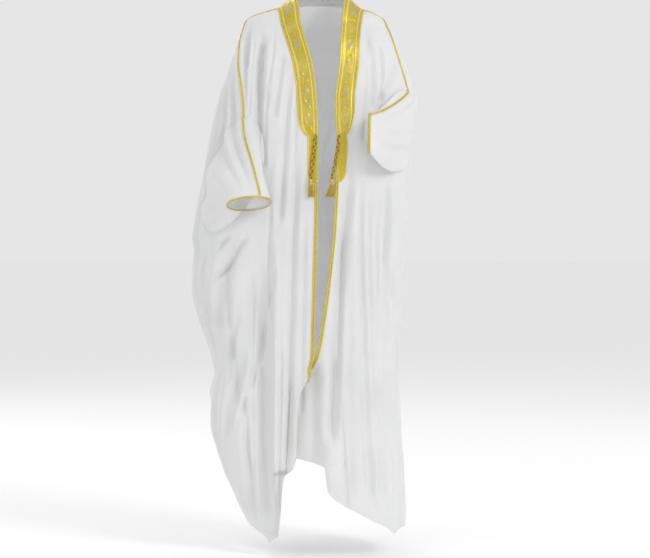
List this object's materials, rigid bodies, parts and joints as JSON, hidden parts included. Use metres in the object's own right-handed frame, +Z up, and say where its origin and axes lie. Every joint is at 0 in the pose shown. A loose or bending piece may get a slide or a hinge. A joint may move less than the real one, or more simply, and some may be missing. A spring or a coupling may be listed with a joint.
{
  "type": "bisht",
  "caption": "Long open-fronted white cloak with gold-trimmed front, neck and cuffs, hollow and draped as worn on the shoulders.",
  "frame": {"origin": "base of the wearer's neck, midway between the shoulders, where the cloak rests on the wearer", "axes": "+X to the wearer's left, +Y to the wearer's back, +Z up; the open front faces -Y"},
  "size_m": [0.6297, 0.427, 1.532],
  "materials": {
    "cloth": "matte fine weave",
    "gold_band": "metallic thread embroidery",
    "gold_piping": "metallic thread braid",
    "gold_cord": "twisted metallic cord"
  },
  "bodies": {
    "root": {"front_right": "cloth", "front_left": "cloth", "back": "cloth", "sleeve_right": "cloth", "sleeve_left": "cloth", "band_right": "gold_band", "band_left": "gold_band", "neck_band": "gold_band", "edge_piping_right": "gold_piping", "shoulder_piping_right": "gold_piping", "sleeve_piping_right": "gold_piping", "cuff_piping_right": "gold_piping", "lacing_right": "gold_cord", "tassel_right": "gold_cord", "edge_piping_left": "gold_piping", "shoulder_piping_left": "gold_piping", "sleeve_piping_left": "gold_piping", "cuff_piping_left": "gold_piping", "lacing_left": "gold_cord", "tassel_left": "gold_cord"}
  },
  "joints": []
}
